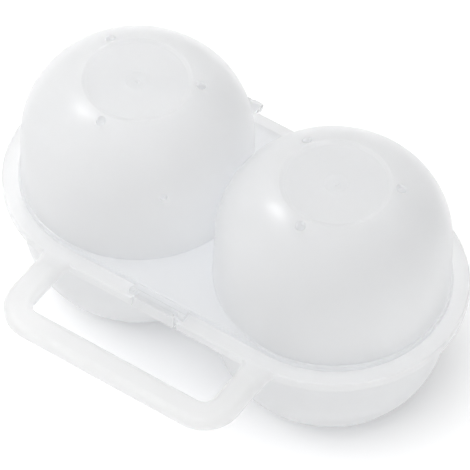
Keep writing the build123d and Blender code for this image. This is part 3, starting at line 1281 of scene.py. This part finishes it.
# ---- studio ----
@dataclass
class Studio:
    """Floor, lamps, world and camera, in millimetres; the softbox and clip_start are in metres."""

    frame: KeeperFrame
    floor_half: float = 1500.0
    floor_depth: float = 2.0
    azimuth: float = 33.0
    elevation: float = 50.36
    roll: float = 1.3
    distance: float = 1066.2
    shift_right: float = 0.21
    shift_up: float = -3.45
    lens: float = 354.73
    sensor: float = 36.0
    clip_start: float = 0.05
    ambient: float = 0.585
    key_direction: Point3 = (-0.62, -0.08, 0.78)
    key_distance: float = 0.62
    key_size: Point2 = (0.085, 0.12)
    key_power: float = 0.85
    fill_direction: Point3 = (0.28, -0.60, 0.75)
    fill_strength: float = 0.37
    down_direction: Point3 = (-0.20, -0.38, 1.0)
    down_strength: float = 2.6
    down_angle: float = 78.0
    bounces: int = 24

    def floor(self) -> Object:
        """Floor that the keeper stands on.

        Returns:
            The floor.
        """
        half = self.floor_half
        floor = box("floor", (-half, -half, -self.floor_depth), (half, half, 0.0))
        floor.data.transform(Matrix.Scale(MM, 4))
        floor.data.materials.append(PaleFloor().build())
        return floor

    def world(self) -> None:
        """White surround that shows as white and lights at the ambient level."""
        world = bpy.data.worlds.new("studio")
        bpy.context.scene.world = world
        world.use_nodes = True
        tree = world.node_tree
        level = add_node(tree, "ShaderNodeMapRange", {
            "To Min": self.ambient, "To Max": 1.0, "Value": seen_directly(tree)})
        set_inputs(tree.nodes["Background"], {"Color": (1.0, 1.0, 1.0, 1.0), "Strength": level})

    def lamp(self, name: str, kind: str, direction: Vector, energy: float, shadow: bool) -> Object:
        """Adds a lamp.

        Args:
            name: Name of the lamp.
            kind: Blender's type of light.
            direction: Towards the lamp.
            energy: Its power or strength.
            shadow: Whether it casts shadows.

        Returns:
            The lamp.
        """
        data = bpy.data.lights.new(name, kind)
        data.energy = energy
        data.use_shadow = shadow
        lamp = bpy.data.objects.new(name, data)
        bpy.context.scene.collection.objects.link(lamp)
        lamp.rotation_euler = direction.to_track_quat("Z", "Y").to_euler()
        return lamp

    def softbox(self) -> Object:
        """Softbox over the left end, whose light passes through the keeper's thin walls.

        Returns:
            The lamp.
        """
        direction = Vector(self.key_direction).normalized()
        lamp = self.lamp("softbox", "AREA", direction, self.key_power, False)
        lamp.data.shape = "RECTANGLE"
        lamp.data.size, lamp.data.size_y = self.key_size
        target = Vector((0.0, self.frame.egg_line * MM, self.frame.lid_z[1] * MM))
        lamp.location = target + direction * self.key_distance
        return lamp

    def even_light(self, name: str, direction: Point3, strength: float, angle: float = 0.0) -> Object:
        """Even light from one side that leaves no highlight.

        Args:
            name: Name of the lamp.
            direction: Towards the lamp.
            strength: Strength of the light.
            angle: How wide it looks from the keeper, in degrees; 0 for a light without shadows.

        Returns:
            The lamp.
        """
        lamp = self.lamp(name, "SUN", Vector(direction), strength, angle > 0.0)
        lamp.data.angle = math.radians(angle)
        lamp.visible_glossy = False
        return lamp

    def lamps(self, floor: Object) -> None:
        """Softbox and fill for the keeper, and a wide overhead lamp that draws its shadow on the floor.

        Args:
            floor: The floor, which takes light from overhead alone.
        """
        fill = self.even_light("fill", self.fill_direction, self.fill_strength)
        overhead = self.even_light("overhead", self.down_direction, self.down_strength, self.down_angle)
        for lamp, state in ((self.softbox(), "EXCLUDE"), (fill, "EXCLUDE"), (overhead, "INCLUDE")):
            lit = bpy.data.collections.new(f"{lamp.name}_receivers")
            lit.objects.link(floor)
            lit.collection_objects[0].light_linking.link_state = state
            lamp.light_linking.receiver_collection = lit

    def camera(self) -> Object:
        """Camera at the viewing angle, aimed at the middle of the lid plate.

        Returns:
            The camera.
        """
        a, e, r = (math.radians(v) for v in (self.azimuth, self.elevation, self.roll))
        back = Vector((math.sin(a) * math.cos(e), -math.cos(a) * math.cos(e), math.sin(e)))
        right = Vector((math.cos(a), math.sin(a), 0.0))
        up = back.cross(right)
        turned_right = right * math.cos(r) + up * math.sin(r)
        turned_up = up * math.cos(r) - right * math.sin(r)
        target = Vector((0.0, self.frame.egg_line, self.frame.lid_z[1]))
        spot = target + back * self.distance + turned_right * self.shift_right + turned_up * self.shift_up
        data = bpy.data.cameras.new("camera")
        data.lens = self.lens
        data.sensor_width = self.sensor
        data.clip_start = self.clip_start
        camera = bpy.data.objects.new("camera", data)
        bpy.context.scene.collection.objects.link(camera)
        basis = Matrix((turned_right, turned_up, back)).transposed().to_4x4()
        camera.matrix_world = Matrix.Translation(spot * MM) @ basis
        bpy.context.scene.camera = camera
        return camera

    def build(self) -> None:
        """Sets up everything round the keeper."""
        self.lamps(self.floor())
        self.world()
        self.camera()
        bpy.context.scene.view_settings.view_transform = "Standard"
        for limit in ("max_bounces", "diffuse_bounces", "glossy_bounces", "transmission_bounces"):
            setattr(bpy.context.scene.cycles, limit, self.bounces)


def main() -> None:
    """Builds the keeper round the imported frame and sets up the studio."""
    logging.basicConfig(level=logging.INFO, format="%(name)s: %(message)s")
    packed_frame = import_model()
    frame = KeeperFrame.read(packed_frame["joints"])
    plastic = FrostedPolypropylene().build()
    # The lid's copy of the finish paints shade on its flat plate and everything lower.
    lid_plastic_painted_shade = FrostedPolypropylene("frosted_lid_polypropylene", painted_shade_top=frame.lid_z[1] * MM).build()
    base, lid, latch = BaseMoulding(frame), LidMoulding(frame), LatchFlap(frame)
    for maker, finish in ((base, plastic), (lid, lid_plastic_painted_shade), (latch, plastic)):
        piece = maker.build(finish)
        LOG.info("%s: %d faces", piece.name, len(piece.data.polygons))
    Studio(frame).build()


if __name__ == "__main__":
    main()
